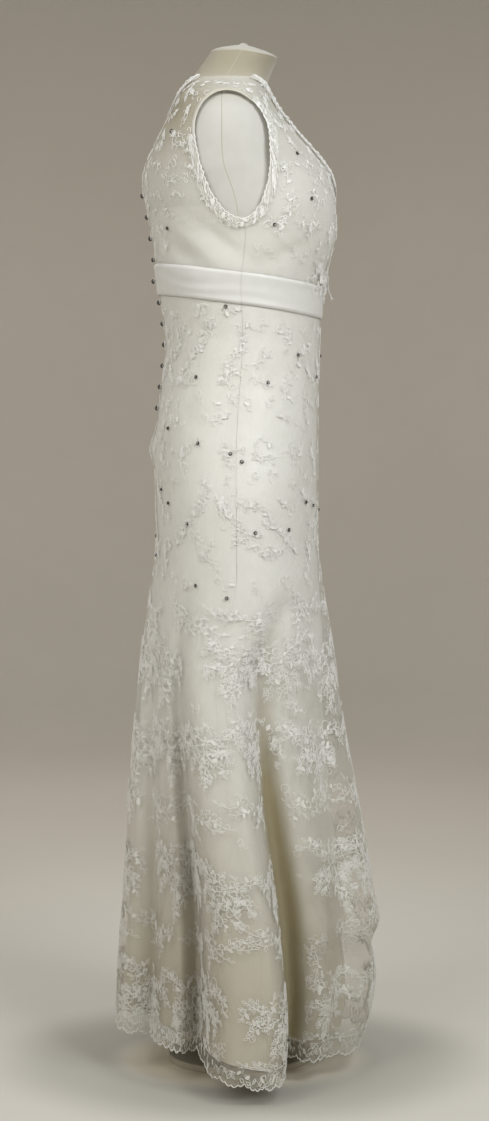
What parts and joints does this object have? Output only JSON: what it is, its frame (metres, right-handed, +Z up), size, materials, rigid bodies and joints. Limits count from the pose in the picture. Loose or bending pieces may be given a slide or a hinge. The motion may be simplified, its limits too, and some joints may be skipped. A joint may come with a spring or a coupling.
{
  "type": "wedding dress on a limbless dress form",
  "caption": "Sleeveless ivory lace wedding dress with a plain sash, a buttoned back and a fluted skirt, on a limbless dress form with a pole and a round base.",
  "frame": {"origin": "centre of the underside of the round base, on the floor and on the pole's axis", "axes": "+Z up along the pole; the front of the dress faces -Y and the wearer's right side faces -X"},
  "size_m": [0.5817, 0.3922, 1.5227],
  "materials": {
    "satin": "soft ivory satin",
    "lace": "ivory corded lace on tulle",
    "cover": "matte cream jersey cover",
    "stand": "semi-gloss cream paint",
    "button": "glossy dark"
  },
  "bodies": {
    "root": {"armhole_binding_left": "satin", "armhole_binding_right": "satin", "armhole_lace_left": "lace", "armhole_lace_right": "lace", "back_button_01": "button", "back_button_02": "button", "back_button_03": "button", "back_button_04": "button", "back_button_05": "button", "back_button_06": "button", "back_button_07": "button", "back_button_08": "button", "back_button_09": "button", "back_button_10": "button", "back_button_11": "button", "bodice_back_left": "satin", "bodice_back_right": "satin", "bodice_front": "satin", "form_neck_cap": "cover", "form_torso": "cover", "hem_lace_back_left": "lace", "hem_lace_back_right": "lace", "hem_lace_front": "lace", "lace_bodice_back_left": "lace", "lace_bodice_back_right": "lace", "lace_bodice_front": "lace", "lace_skirt_back_left": "lace", "lace_skirt_back_right": "lace", "lace_skirt_front": "lace", "neckline_lace_back_left": "lace", "neckline_lace_back_right": "lace", "neckline_lace_front": "lace", "sash_back_left": "satin", "sash_back_right": "satin", "sash_front": "satin", "sash_leaf_left": "satin", "sash_leaf_right": "satin", "stand_base": "stand", "stand_collar": "stand", "stand_hub": "stand", "stand_pole": "stand", "underskirt_back_left": "satin", "underskirt_back_right": "satin", "underskirt_front_left": "satin", "underskirt_front_right": "satin"}
  },
  "joints": []
}
